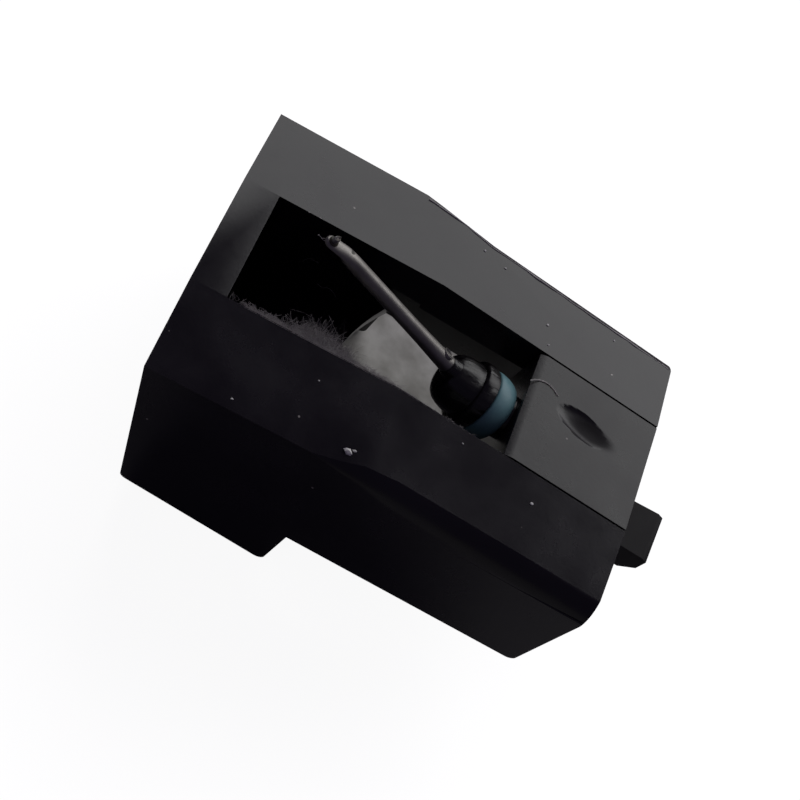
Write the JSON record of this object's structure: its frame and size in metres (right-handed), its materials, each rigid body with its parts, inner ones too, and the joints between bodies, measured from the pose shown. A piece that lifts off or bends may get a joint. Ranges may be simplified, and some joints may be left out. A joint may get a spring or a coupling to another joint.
{
  "type": "turntable stylus",
  "caption": "Replacement record player stylus: black moulded housing, windowed over a sprung aluminium cantilever with a diamond tip, a rubber damper and a rear pull tab.",
  "frame": {"origin": "middle of the seat face, the underside of the web behind the nose, which bears on the pickup's body", "axes": "+X from the nose to the tab at the rear, +Z towards the record, so -Z points at the pickup that the stylus is pushed onto"},
  "size_m": [0.0188, 0.0108, 0.0115],
  "materials": {
    "housing": "fine matte moulded, black",
    "stylus_holder": "fine matte moulded, black",
    "wire_sleeve": "drawn",
    "damper": "smooth, teal",
    "carrier": "satin, black",
    "magnet": "ground",
    "suspension_wire": "drawn",
    "cantilever": "drawn, satin",
    "tip_shank": "ground",
    "diamond": "polished"
  },
  "bodies": {
    "shell": {"housing": "housing", "stylus_holder": "stylus_holder", "wire_sleeve": "wire_sleeve"},
    "pivot": {"damper": "damper"},
    "moving_stylus": {"carrier": "carrier", "magnet": "magnet", "suspension_wire": "suspension_wire", "cantilever": "cantilever", "tip_shank": "tip_shank", "diamond": "diamond"}
  },
  "joints": [
    {"name": "side_swing", "type": "hinge", "parent": "shell", "child": "pivot", "pos_m": [0.00662, 0, 0.0049], "axis": [0, 0, 1], "range_deg": [-3, 3], "stiffness_Nm_per_rad": 0.005},
    {"name": "lift", "type": "hinge", "parent": "pivot", "child": "moving_stylus", "pos_m": [0.00662, 0, 0.0049], "axis": [0, 1, 0], "range_deg": [-3, 3], "stiffness_Nm_per_rad": 0.005}
  ]
}
